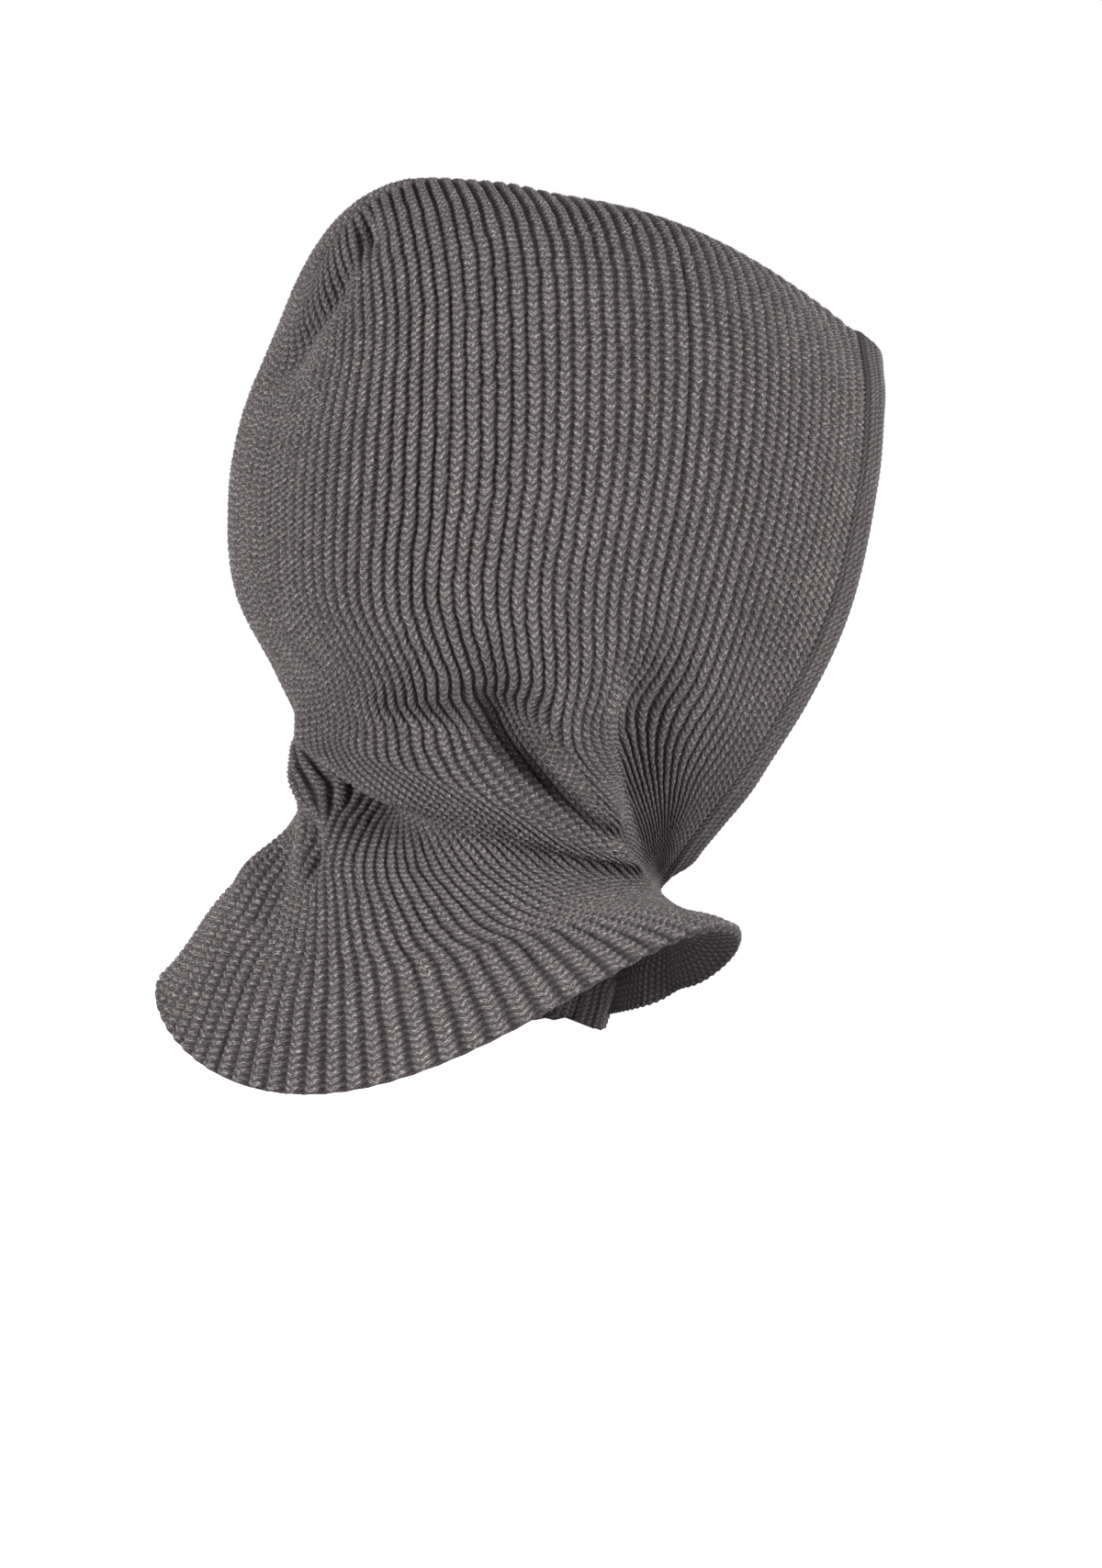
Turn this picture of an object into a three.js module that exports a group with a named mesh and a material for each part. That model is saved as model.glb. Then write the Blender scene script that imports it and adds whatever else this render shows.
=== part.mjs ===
// Knitted hood with a folded band round its face opening and a flared collar.
// Millimetres, +Z up. The face opening looks along -Y, and the hood's right side is -X.
// The origin lies on the inside of the crown, where the hood is borne.
import * as THREE from 'three';
import { mergeVertices } from 'three/addons/utils/BufferGeometryUtils.js';

const WALL = 3.8;            // thickness of the ribbed fabric
const RIB_LENGTH = 400;      // one rib, from the crown seam to the hem
const CLOSE_AT = 357;        // distance down the rib where the two front edges meet
const HALF_WIDTH = 285;      // half of the fabric, face edge to centre back, laid flat
const ROW_STOPS = [          // mesh row, distance down the rib; rows crowd in the neck's folds
  [0, 0], [19, 222], [37, 328], [41, CLOSE_AT], [46, RIB_LENGTH],
];
const ROWS_OPEN = 41;        // mesh rows from the crown seam to the throat
const ROWS = 46;             // mesh rows from the crown seam to the hem
const COLUMNS = 52;          // mesh columns, from the right face edge round to the left one
const BAND_WIDTH = 13.2;     // width of the folded band round the face
const BAND_THICK = 7.4;      // the band is the fabric doubled
const BAND_GAP = 0.36;       // clear seam line between band and hood
const FINEST_FOLD = 14;      // narrowest half of a fold that the mesh can carry
const CROWN_DROP = 2.8;      // lowers the table's heights so the origin lies on the inner crown
const RING_STEPS = 180;      // samples along half of a section

// Sections of the hood, one row for each distance down the ribs.
// edge: where the face edge runs; side: where the section is widest; back: its centre back.
// lean and corner shape the height between the stations, square the plan.
// yaw turns the section about the vertical, as the collar lies turned; roll raises its right side.
// slide and spread move the ribs round the section, gather crowds them to the back corner.
const SECTION_COLUMNS = [
  't', 'cx', 'edgeX', 'edgeY', 'edgeZ', 'sideX', 'sideY', 'sideZ', 'backY', 'backZ',
  'lean', 'corner', 'square', 'yaw', 'roll', 'slide', 'gather', 'spread',
];
const SECTIONS = [
  [0, 0, 0, -108, -43, 0, 30, 11, 131, -17, 0.08, 6.0, 2.0, 0, 0, 0.500, 0.20, 0],
  [14, 0, 14, -106, -44, 14, 30, 11, 134, -21, 0.08, 5.5, 2.2, 0, 0, 0.500, 0.19, 0],
  [40, 0, 39, -95, -54, 42, 24, 4, 138, -35, 0.08, 4.5, 2.4, 0, 0, 0.500, 0.14, 0],
  [75, 0, 64, -82, -70, 74, 18, -18, 142, -57, 0.08, 3.4, 2.5, 0, 0, 0.500, 0.08, 0],
  [110, 0, 81, -69.5, -100, 94, 15, -50, 152, -84, 0.05, 2.6, 2.5, 0, 0, 0.500, 0.03, 0],
  [150, 0, 90, -53, -145, 104, 14, -98, 156, -114, 0.02, 2.2, 2.5, 0, 0, 0.500, 0, 0],
  [190, 0, 88, -36, -182, 106, 16, -141, 152, -149, 0, 2.0, 2.5, 0, 0, 0.500, 0, 0],
  [230, 0, 76, -20, -215, 98, 26, -184, 134.5, -181, 0, 2.0, 2.4, 0, 0, 0.490, 0, 0],
  [262, 2, 62, -9, -237, 84, 36, -212, 127, -203, 0, 2.0, 2.2, 2, 0, 0.510, 0, 0],
  [285, 3, 51, -3, -252, 75, 46, -231, 130, -222, 0, 2.0, 2.1, 5, 0, 0.485, 0, 0],
  [310, 5, 40, -3, -266, 70, 55, -248, 134, -246, 0, 2.0, 2.0, 10, 0, 0.460, 0, 0],
  [335, 5, 31, -12, -282, 76, 60, -262, 142, -270, 0, 2.0, 2.0, 17, 1, 0.450, 0, 0.010],
  [349, 5, 19, -20, -293, 85, 62, -269, 148, -286, 0, 2.0, 2.0, 21, 2, 0.450, 0, 0.015],
  [357, 6, 0, -26, -297, 92, 63, -272, 151, -294, 0, 2.0, 2.0, 23, 2, 0.450, 0, 0.020],
  [378, 7, 0, -30, -312, 110, 68, -281, 159, -317, 0, 2.0, 2.0, 28, 5, 0.455, 0, 0.025],
  [400, 8, 0, -36, -326, 123, 72, -289, 165, -339, 0, 2.0, 2.0, 32, 6.5, 0.460, 0, 0.030],
];

// Folds, one row each. A fold follows a curve through three stations (u, t), where u is
// -1 at the right face edge, 0 at the centre back and +1 at the left face edge.
// above and below are its widths up and down the rib; push lifts it, drop lets it hang.
// start and end are the parts of its length over which it fades.
const FOLD_COLUMNS = [
  'name', 'u0', 't0', 'u1', 't1', 'u2', 't2', 'above', 'below', 'push', 'drop', 'start', 'end',
];
const FOLDS = [
  ['nape roll', 0.17, 244, -0.06, 275, -0.32, 287, 16, 8, 9, 5, 0.25, 0.4],
  ['nape tuck', 0.15, 264, -0.03, 289, -0.32, 306, 9, 18, -21, 0, 0.3, 0.7],
  ['neck roll', -0.10, 260, -0.42, 281, -0.76, 322, 6, 34, 10, 3, 0.45, 0.2],
  ['side hollow', -0.26, 212, -0.44, 262, -0.66, 302, 20, 7, -19, 0, 0.5, 0.3],
  ['jaw ridge', -0.45, 222, -0.58, 256, -0.69, 300, 8, 10, 9, 0, 0.5, 0.2],
  ['cheek hollow', -0.61, 208, -0.70, 250, -0.80, 310, 28, 13, -15, 0, 0.4, 0.3],
  ['collar tuck', 0.27, 292, 0.17, 309, 0.14, 330, 9, 9, -8, 0, 0.4, 0.4],
  ['left shoulder swell', 0.26, 326, 0.46, 341, 0.70, 350, 36, 36, 16.5, 0, 0.35, 0.5],
  ['neck column', 0.24, 256, 0.22, 278, 0.15, 308, 10, 12, 5, 0, 0.3, 0.4],
  ['crown tuck', -0.198, 6, -0.208, 22, -0.214, 38, 6, 6, -9, 0, 0.3, 0.3],
  ['crown crease', -0.205, 32, -0.02, 55, 0.09, 104, 9, 15, -6, 0, 0.2, 0.5],
  ['crown puff right', -0.34, 0, -0.39, 0, -0.45, 0, 20, 20, 4, 0, 0, 0],
  ['crown puff left', 0.34, 0, 0.39, 0, 0.45, 0, 20, 20, 4, 0, 0, 0],
  ['left neck crest', 0.42, 262, 0.55, 280, 0.72, 318, 15, 14, 5, 3, 0.5, 0.3],
  ['left side hollow', 0.50, 218, 0.62, 256, 0.76, 300, 22, 18, -8, 0, 0.5, 0.3],
  ['bib ridge', -0.80, 345, -0.79, 372, -0.78, 400, 13, 13, 3, 0, 0.5, 0],
];

const named = (columns, rows) => rows.map(
  (row) => Object.fromEntries(columns.map((column, index) => [column, row[index]])),
);
const sections = named(SECTION_COLUMNS, SECTIONS);
const folds = named(FOLD_COLUMNS, FOLDS);

const radians = (degrees) => degrees * Math.PI / 180;
const clamp01 = (value) => Math.min(1, Math.max(0, value));
const ease = (value) => clamp01(value) ** 2 * (3 - 2 * clamp01(value));

// Smooth curve through the rows of the section table.
function slopeAt(index, column) {
  const last = sections.length - 1;
  const rise = (low) => (sections[low + 1][column] - sections[low][column])
    / (sections[low + 1].t - sections[low].t);
  if (index === 0) return rise(0);
  if (index === last) return rise(last - 1);
  const before = sections[index].t - sections[index - 1].t;
  const after = sections[index + 1].t - sections[index].t;
  return (rise(index - 1) * after + rise(index) * before) / (before + after);
}

function sectionAt(t) {
  let low = 0;
  while (low < sections.length - 2 && t >= sections[low + 1].t) low += 1;
  const from = sections[low];
  const to = sections[low + 1];
  const step = to.t - from.t;
  const s = (t - from.t) / step;
  const result = { t };
  for (const column of SECTION_COLUMNS.slice(1)) {
    result[column] = (2 * s ** 3 - 3 * s ** 2 + 1) * from[column]
      + (s ** 3 - 2 * s ** 2 + s) * step * slopeAt(low, column)
      + (3 * s ** 2 - 2 * s ** 3) * to[column]
      + (s ** 3 - s ** 2) * step * slopeAt(low + 1, column);
  }
  return result;
}

// The points of one section from the right face edge round the back to the left one.
function ringOf(row) {
  const width = Math.max(row.sideX, 0.6);
  const edge = Math.min(Math.max(row.edgeX, 0), width * 0.985);
  const back = row.backY - row.sideY;
  const cut = Math.asin((edge / width) ** (row.square / 2));
  const front = (row.sideY - row.edgeY) / Math.cos(cut) ** (2 / row.square);
  const toEdge = row.edgeY - row.sideY;
  const turn = radians(row.yaw);
  const points = [];
  const lengths = [0];
  for (let k = 0; k <= 2 * RING_STEPS; k += 1) {
    const angle = (k / RING_STEPS - 1) * (Math.PI - cut);
    const c = Math.cos(angle);
    const s = Math.sin(angle);
    const x = Math.max(row.sideX, 0) * Math.sign(s) * Math.abs(s) ** (2 / row.square);
    const y = (c > 0 ? back : front) * Math.sign(c) * Math.abs(c) ** (2 / row.square);
    const fall = c > 0
      ? (row.backZ - row.sideZ - row.lean * back) * Math.abs(y / back) ** row.corner
      : (row.edgeZ - row.sideZ - row.lean * toEdge) * (y / toEdge) ** 2;
    points.push(new THREE.Vector3(
      row.cx + x * Math.cos(turn) - y * Math.sin(turn),
      row.sideY + x * Math.sin(turn) + y * Math.cos(turn),
      row.sideZ + row.lean * y + fall - Math.tan(radians(row.roll)) * x,
    ));
    if (k > 0) lengths.push(lengths[k - 1] + points[k].distanceTo(points[k - 1]));
  }
  return { points, lengths };
}

// Share of the section's length at which the rib coordinate u lies.
function shareOf(u, row) {
  const inward = 1 - Math.abs(u);
  const toBack = (1 + row.gather) * inward - row.gather * inward ** 5;
  let share = 0.5 * (1 + Math.sign(u) * (1 - toBack));
  share += (row.slide - 0.5) * (1 - (2 * share - 1) ** 2);
  if (u < 0) share -= row.spread * Math.sin(Math.PI * Math.abs(u));
  return share;
}

function pointOn(ring, share) {
  const target = share * ring.lengths[ring.lengths.length - 1];
  let high = 1;
  while (high < ring.lengths.length - 1 && ring.lengths[high] < target) high += 1;
  const from = ring.lengths[high - 1];
  const part = (target - from) / (ring.lengths[high] - from);
  return ring.points[high - 1].clone().lerp(ring.points[high], clamp01(part));
}

const ringCache = new Map();
function smoothSurface(u, t) {
  const key = t.toFixed(4);
  if (!ringCache.has(key)) {
    const row = sectionAt(t);
    ringCache.set(key, { row, ring: ringOf(row) });
  }
  const { row, ring } = ringCache.get(key);
  return pointOn(ring, shareOf(u, row));
}

function frameAt(u, t) {
  const du = 0.006;
  const dt = 0.8;
  const across = smoothSurface(Math.min(u + du, 1), t)
    .sub(smoothSurface(Math.max(u - du, -1), t));
  const down = smoothSurface(u, Math.min(t + dt, RIB_LENGTH))
    .sub(smoothSurface(u, Math.max(t - dt, 0)));
  const normal = new THREE.Vector3().crossVectors(across, down).normalize();
  return { normal, down: down.normalize() };
}

// How far the folds lift the fabric and let it hang at a place.
const foldPaths = folds.map((fold) => {
  const bendU = 2 * fold.u1 - 0.5 * (fold.u0 + fold.u2);
  const bendT = 2 * fold.t1 - 0.5 * (fold.t0 + fold.t2);
  const path = [];
  for (let k = 0; k <= 12; k += 1) {
    const s = k / 12;
    path.push([
      HALF_WIDTH * (fold.u0 * (1 - s) ** 2 + 2 * bendU * s * (1 - s) + fold.u2 * s ** 2),
      fold.t0 * (1 - s) ** 2 + 2 * bendT * s * (1 - s) + fold.t2 * s ** 2,
    ]);
  }
  const acrossRibs = Math.abs(fold.u2 - fold.u0) * HALF_WIDTH
    > Math.abs(fold.t2 - fold.t0) * 0.3;
  return { path, facing: acrossRibs ? Math.sign(fold.u2 - fold.u0) : -1 };
});

function foldShift(u, t) {
  let push = 0;
  let drop = 0;
  folds.forEach((fold, index) => {
    const { path, facing } = foldPaths[index];
    const x = u * HALF_WIDTH;
    let best = Infinity;
    let side = 0;
    let along = 0;
    for (let k = 0; k < 12; k += 1) {
      const dx = path[k + 1][0] - path[k][0];
      const dt = path[k + 1][1] - path[k][1];
      const ax = x - path[k][0];
      const at = t - path[k][1];
      const h = clamp01((ax * dx + at * dt) / (dx * dx + dt * dt));
      const ex = ax - h * dx;
      const et = at - h * dt;
      const distance = Math.hypot(ex, et);
      if (distance < best) {
        best = distance;
        along = (k + h) / 12;
        side = Math.sign(dx * et - dt * ex) * facing;
      }
    }
    const width = Math.max(FINEST_FOLD, side > 0 ? fold.below : fold.above);
    const fadeIn = fold.start > 0 ? ease(along / fold.start) : 1;
    const fadeOut = fold.end > 0 ? ease((1 - along) / fold.end) : 1;
    const amount = Math.exp(-((best / width) ** 2)) * fadeIn * fadeOut;
    push += fold.push * amount;
    drop += fold.drop * amount;
  });
  return { push, drop };
}

function columnU(i) {
  return -1 + 2 * i / COLUMNS;
}

function rowT(j) {
  const next = ROW_STOPS.findIndex(([row], index) => index > 0 && j <= row);
  const [fromRow, fromT] = ROW_STOPS[next - 1];
  const [toRow, toT] = ROW_STOPS[next];
  return fromT + (toT - fromT) * (j - fromRow) / (toRow - fromRow);
}

// Outer points of the hood on the mesh grid. The two sides of the crown seam, and of the
// closed bib, share their normals and shifts, so that they meet.
function foldedGrid() {
  const points = [];
  for (let j = 0; j <= ROWS; j += 1) {
    const line = [];
    for (let i = 0; i <= COLUMNS; i += 1) {
      const u = columnU(i);
      const t = rowT(j);
      const frame = frameAt(u, t);
      const twin = frameAt(-u, t);
      const shift = foldShift(u, t);
      if (j === 0 || (j >= ROWS_OPEN && (i === 0 || i === COLUMNS))) {
        const twinShift = foldShift(-u, t);
        frame.normal.add(twin.normal).normalize();
        frame.down.add(twin.down).normalize();
        shift.push = (shift.push + twinShift.push) / 2;
        shift.drop = (shift.drop + twinShift.drop) / 2;
      }
      if (j === 0) frame.down.set(0, 0, -1);
      line.push(smoothSurface(u, t)
        .addScaledVector(frame.normal, shift.push)
        .addScaledVector(frame.down, shift.drop)
        .add(new THREE.Vector3(0, 0, -CROWN_DROP)));
    }
    points.push(line);
  }
  return points;
}

function gridNormals(points) {
  return points.map((line, j) => line.map((point, i) => {
    const across = line[Math.min(i + 1, COLUMNS)].clone().sub(line[Math.max(i - 1, 0)]);
    const down = points[Math.min(j + 1, ROWS)][i].clone().sub(points[Math.max(j - 1, 0)][i]);
    return new THREE.Vector3().crossVectors(across, down).normalize();
  }));
}

const outer = foldedGrid();
const normals = gridNormals(outer);
for (let i = 0; i <= COLUMNS / 2; i += 1) {
  const shared = normals[0][i].clone().add(normals[0][COLUMNS - i]).normalize();
  normals[0][i] = shared;
  normals[0][COLUMNS - i] = shared.clone();
}
for (let j = ROWS_OPEN; j <= ROWS; j += 1) {
  const shared = normals[j][0].clone().add(normals[j][COLUMNS]).normalize();
  normals[j][0] = shared;
  normals[j][COLUMNS] = shared.clone();
}
const inner = outer.map((line, j) => line.map(
  (point, i) => point.clone().addScaledVector(normals[j][i], -WALL),
));

function closedGeometry(quads) {
  const positions = [];
  for (const [a, b, c, d] of quads) {
    for (const p of [a, b, c, a, c, d]) positions.push(p.x, p.y, p.z);
  }
  const soup = new THREE.BufferGeometry();
  soup.setAttribute('position', new THREE.Float32BufferAttribute(positions, 3));
  const welded = mergeVertices(soup, 1e-3);
  const index = welded.getIndex().array;
  const kept = [];
  for (let k = 0; k < index.length; k += 3) {
    const [a, b, c] = [index[k], index[k + 1], index[k + 2]];
    if (a !== b && b !== c && a !== c) kept.push(a, b, c);
  }
  welded.setIndex(kept);
  welded.computeVertexNormals();
  return welded;
}

// Each quad is split along its first and third corners. On the right half the folds run
// the other way, so the corners there start one place later.
function hoodGeometry() {
  const quads = [];
  for (let j = 0; j < ROWS; j += 1) {
    for (let i = 0; i < COLUMNS; i += 1) {
      const outside = [outer[j][i], outer[j][i + 1], outer[j + 1][i + 1], outer[j + 1][i]];
      const inside = [inner[j][i], inner[j + 1][i], inner[j + 1][i + 1], inner[j][i + 1]];
      for (const corners of [outside, inside]) {
        if (i < COLUMNS / 2) corners.push(corners.shift());
        quads.push(corners);
      }
    }
  }
  for (let j = 0; j < ROWS_OPEN; j += 1) {
    quads.push([outer[j][0], outer[j + 1][0], inner[j + 1][0], inner[j][0]]);
    const n = COLUMNS;
    quads.push([outer[j][n], inner[j][n], inner[j + 1][n], outer[j + 1][n]]);
  }
  for (let i = 0; i < COLUMNS; i += 1) {
    quads.push([outer[ROWS][i], outer[ROWS][i + 1], inner[ROWS][i + 1], inner[ROWS][i]]);
  }
  return closedGeometry(quads);
}

// The band's cross-section: reach is measured away from the hood, rise along the normal.
const BAND_SECTION = [
  { reach: 0, rise: -0.36 },
  { reach: 0, rise: 0.36 },
  { reach: 0.10, rise: 0.5 },
  { reach: 0.86, rise: 0.5 },
  { reach: 0.96, rise: 0.40 },
  { reach: 1, rise: 0 },
  { reach: 0.96, rise: -0.40 },
  { reach: 0.86, rise: -0.5 },
  { reach: 0.10, rise: -0.5 },
];

function bandGeometry() {
  const rim = [];
  for (let j = 0; j < ROWS_OPEN; j += 1) rim.push([j, 0]);
  for (let j = ROWS_OPEN; j > 0; j -= 1) rim.push([j, COLUMNS]);
  const middles = rim.map(([j, i]) => outer[j][i].clone().add(inner[j][i]).multiplyScalar(0.5));
  const count = rim.length;
  const rings = rim.map(([j, i], k) => {
    const ahead = middles[(k + 1) % count].clone().sub(middles[k]).normalize();
    const behind = middles[k].clone().sub(middles[(k + count - 1) % count]).normalize();
    const along = ahead.clone().add(behind).normalize();
    const normal = normals[j][i].clone().addScaledVector(along, -normals[j][i].dot(along));
    normal.normalize();
    const away = new THREE.Vector3().crossVectors(normal, along).normalize();
    return BAND_SECTION.map(({ reach, rise }) => middles[k].clone()
      .addScaledVector(away, BAND_GAP + reach * BAND_WIDTH)
      .addScaledVector(normal, rise * BAND_THICK));
  });
  const quads = [];
  const corners = BAND_SECTION.length;
  for (let k = 0; k < count; k += 1) {
    const next = (k + 1) % count;
    for (let c = 0; c < corners; c += 1) {
      const d = (c + 1) % corners;
      quads.push([rings[k][c], rings[next][c], rings[next][d], rings[k][d]]);
    }
  }
  return closedGeometry(quads);
}

function meshOf(name, geometry, material) {
  const mesh = new THREE.Mesh(geometry, material);
  mesh.name = name;
  return mesh;
}

const hoodKnit = new THREE.MeshStandardMaterial({ color: 0x69625f, roughness: 0.95, metalness: 0 });
const bandKnit = new THREE.MeshStandardMaterial({ color: 0x625b5a, roughness: 0.95, metalness: 0 });

const hood = new THREE.Group();
hood.name = 'hood';
hood.add(meshOf('hood_body', hoodGeometry(), hoodKnit));
hood.add(meshOf('face_band', bandGeometry(), bandKnit));

export default hood;
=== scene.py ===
# %% [markdown]
# # A chunky rib-knit hood
# The hood is one tube of rib knit, closed along the crown, gathered round the neck and
# flared at the collar, with a folded band along its face opening. The solids come first
# and stay as they are; this file dresses them in knitted fabric.

# %% Load the frame
import math

import bmesh
import bpy
import numpy as np
from mathutils import Matrix, Vector


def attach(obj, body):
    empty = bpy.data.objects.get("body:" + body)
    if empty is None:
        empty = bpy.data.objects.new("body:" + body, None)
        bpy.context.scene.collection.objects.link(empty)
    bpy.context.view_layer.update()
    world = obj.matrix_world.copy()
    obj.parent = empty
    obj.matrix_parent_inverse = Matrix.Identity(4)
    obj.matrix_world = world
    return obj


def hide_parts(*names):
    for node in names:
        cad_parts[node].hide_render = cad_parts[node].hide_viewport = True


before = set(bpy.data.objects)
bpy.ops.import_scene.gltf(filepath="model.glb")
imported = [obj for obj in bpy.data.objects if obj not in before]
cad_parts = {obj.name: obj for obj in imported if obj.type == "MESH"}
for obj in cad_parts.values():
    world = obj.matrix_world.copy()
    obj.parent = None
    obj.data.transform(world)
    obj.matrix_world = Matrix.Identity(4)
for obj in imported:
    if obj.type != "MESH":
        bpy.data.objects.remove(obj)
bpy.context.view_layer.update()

# %% [markdown]
# ## The shape of the hood
# A knitted hood hangs from the crown in long ribs. Each rib starts at the crown seam and
# ends at the hem, so a place on the fabric is named by two numbers: u, which rib, from -1
# at the right face edge round the back to +1 at the left one, and t, how far down it.
# A table of sections gives the smooth shape and a table of folds lifts or sinks it.
# The sections are the ones that the solids were made from, in millimetres. So are most of
# the folds. A few round the neck and at the crown are set more finely here, and one more
# lies above the neck roll, as the solids have few faces for them.

# %% Sections and folds
MM = 0.001
RIB_LENGTH = 400.0
CLOSE_AT = 357.0
HALF_WIDTH = 285.0
CROWN_DROP = 2.8
WALL = 3.8
SECTIONS = np.array([
    # t, cx, edge x y z, side x y z, back y z, lean, corner, square, yaw, roll, slide, gather, spread
    (0, 0, 0, -108, -43, 0, 30, 11, 131, -17, .08, 6.0, 2.0, 0, 0, .500, .20, 0),
    (14, 0, 14, -106, -44, 14, 30, 11, 134, -21, .08, 5.5, 2.2, 0, 0, .500, .19, 0),
    (40, 0, 39, -95, -54, 42, 24, 4, 138, -35, .08, 4.5, 2.4, 0, 0, .500, .14, 0),
    (75, 0, 64, -82, -70, 74, 18, -18, 142, -57, .08, 3.4, 2.5, 0, 0, .500, .08, 0),
    (110, 0, 81, -69.5, -100, 94, 15, -50, 152, -84, .05, 2.6, 2.5, 0, 0, .500, .03, 0),
    (150, 0, 90, -53, -145, 104, 14, -98, 156, -114, .02, 2.2, 2.5, 0, 0, .500, 0, 0),
    (190, 0, 88, -36, -182, 106, 16, -141, 152, -149, 0, 2.0, 2.5, 0, 0, .500, 0, 0),
    (230, 0, 76, -20, -215, 98, 26, -184, 134.5, -181, 0, 2.0, 2.4, 0, 0, .490, 0, 0),
    (262, 2, 62, -9, -237, 84, 36, -212, 127, -203, 0, 2.0, 2.2, 2, 0, .510, 0, 0),
    (285, 3, 51, -3, -252, 75, 46, -231, 130, -222, 0, 2.0, 2.1, 5, 0, .485, 0, 0),
    (310, 5, 40, -3, -266, 70, 55, -248, 134, -246, 0, 2.0, 2.0, 10, 0, .460, 0, 0),
    (335, 5, 31, -12, -282, 76, 60, -262, 142, -270, 0, 2.0, 2.0, 17, 1, .450, 0, .010),
    (349, 5, 19, -20, -293, 85, 62, -269, 148, -286, 0, 2.0, 2.0, 21, 2, .450, 0, .015),
    (357, 6, 0, -26, -297, 92, 63, -272, 151, -294, 0, 2.0, 2.0, 23, 2, .450, 0, .020),
    (378, 7, 0, -30, -312, 110, 68, -281, 159, -317, 0, 2.0, 2.0, 28, 5, .455, 0, .025),
    (400, 8, 0, -36, -326, 123, 72, -289, 165, -339, 0, 2.0, 2.0, 32, 6.5, .460, 0, .030),
])
FOLDS = [
    # name, u0, t0, u1, t1, u2, t2, width above, width below, push, drop, fade in, fade out
    ("nape roll", .17, 244, -.06, 275, -.32, 287, 16, 8, 9, 5, .25, .4),
    ("nape tuck", .17, 261, -.03, 285, -.38, 303, 9, 22, -32, 0, .25, .6),
    ("neck roll", .02, 256, -.40, 277, -.74, 322, 6, 22, 11, 3, .35, .2),
    ("side hollow", -.27, 206, -.43, 256, -.66, 300, 24, 11, -15, 0, .5, .3),
    ("roll shadow", -.14, 248, -.40, 263, -.64, 297, 17, 5, -11, 0, .4, .3),
    ("jaw ridge", -.45, 222, -.58, 256, -.69, 300, 8, 10, 9, 0, .5, .2),
    ("cheek hollow", -.61, 208, -.70, 250, -.80, 310, 28, 13, -15, 0, .4, .3),
    ("collar tuck", .27, 292, .17, 309, .14, 330, 9, 9, -8, 0, .4, .4),
    ("left shoulder swell", .26, 326, .46, 341, .70, 350, 36, 36, 16.5, 0, .35, .5),
    ("neck column", .24, 256, .22, 278, .15, 308, 10, 12, 5, 0, .3, .4),
    ("crown tuck", -.198, 3, -.208, 22, -.214, 46, 7, 8, -8.5, 0, .45, .5),
    ("crown crease", -.205, 32, -.02, 55, .09, 104, 9, 15, -6, 0, .2, .5),
    ("crown puff right", -.34, 0, -.39, 0, -.45, 0, 20, 20, 4, 0, 0, 0),
    ("crown puff left", .34, 0, .39, 0, .45, 0, 20, 20, 4, 0, 0, 0),
    ("left neck crest", .42, 262, .55, 280, .72, 318, 15, 14, 5, 3, .5, .3),
    ("left side hollow", .50, 218, .62, 256, .76, 300, 22, 18, -8, 0, .5, .3),
    ("bib ridge", -.80, 345, -.79, 372, -.78, 400, 13, 13, 3, 0, .5, 0),
]
print(len(SECTIONS), "sections,", len(FOLDS), "folds")


# %% [markdown]
# ## From sections to a surface
# Each section is a ring, open at the front, made of two half ovals: a fuller one for the
# back of the head and one that ends at the face edges. A smooth curve through the rows of
# the table gives a ring at any distance from the crown. Splines through a net of points
# would do the same, but a row of named sizes is easier to compare with a photograph.

# %% Smooth surface
NARROWEST = 0.6          # half width of the ring at the crown seam, in millimetres
WIDEST_OPENING = 0.985   # the face edges stay inside this share of the half width


def section_at(t):
    """The section table read at distances t, on a smooth curve through its rows."""
    stations = SECTIONS[:, 0]
    gaps = np.diff(stations)[:, None]
    rises = np.diff(SECTIONS, axis=0) / gaps
    slopes = np.vstack([rises[:1], (rises[:-1] * gaps[1:] + rises[1:] * gaps[:-1])
                        / (gaps[1:] + gaps[:-1]), rises[-1:]])
    low = np.clip(np.searchsorted(stations, t, "right") - 1, 0, len(stations) - 2)
    step = gaps[low]
    s = (t[:, None] - stations[low][:, None]) / step
    return ((2 * s**3 - 3 * s**2 + 1) * SECTIONS[low] + (s**3 - 2 * s**2 + s) * step * slopes[low]
            + (3 * s**2 - 2 * s**3) * SECTIONS[low + 1] + (s**3 - s**2) * step * slopes[low + 1])


def ring_of(row, samples=721):
    """Points round one section, with the share of its length at each."""
    (_, cx, edge_x, edge_y, edge_z, side_x, side_y, side_z, back_y, back_z,
     lean, corner, square, yaw, roll, _, _, _) = row
    width = max(side_x, NARROWEST)
    edge = min(max(edge_x, 0.0), width * WIDEST_OPENING)
    back = back_y - side_y
    cut = math.asin((edge / width) ** (square / 2))
    front = (side_y - edge_y) / math.cos(cut) ** (2 / square)
    angle = np.linspace(cut - math.pi, math.pi - cut, samples)
    c, s = np.cos(angle), np.sin(angle)
    x = max(side_x, 0) * np.sign(s) * np.abs(s) ** (2 / square)
    y = np.where(c > 0, back, front) * np.sign(c) * np.abs(c) ** (2 / square)
    to_edge = edge_y - side_y
    fall = np.where(c > 0, (back_z - side_z - lean * back) * np.abs(y / back) ** corner,
                    (edge_z - side_z - lean * to_edge) * (y / to_edge) ** 2)
    z = side_z + lean * y + fall - math.tan(math.radians(roll)) * x - CROWN_DROP
    turn = math.radians(yaw)
    points = np.stack([cx + x * math.cos(turn) - y * math.sin(turn),
                       side_y + x * math.sin(turn) + y * math.cos(turn), z], axis=1)
    lengths = np.concatenate([[0], np.cumsum(np.linalg.norm(np.diff(points, axis=0), axis=1))])
    return points, lengths / lengths[-1]


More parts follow.
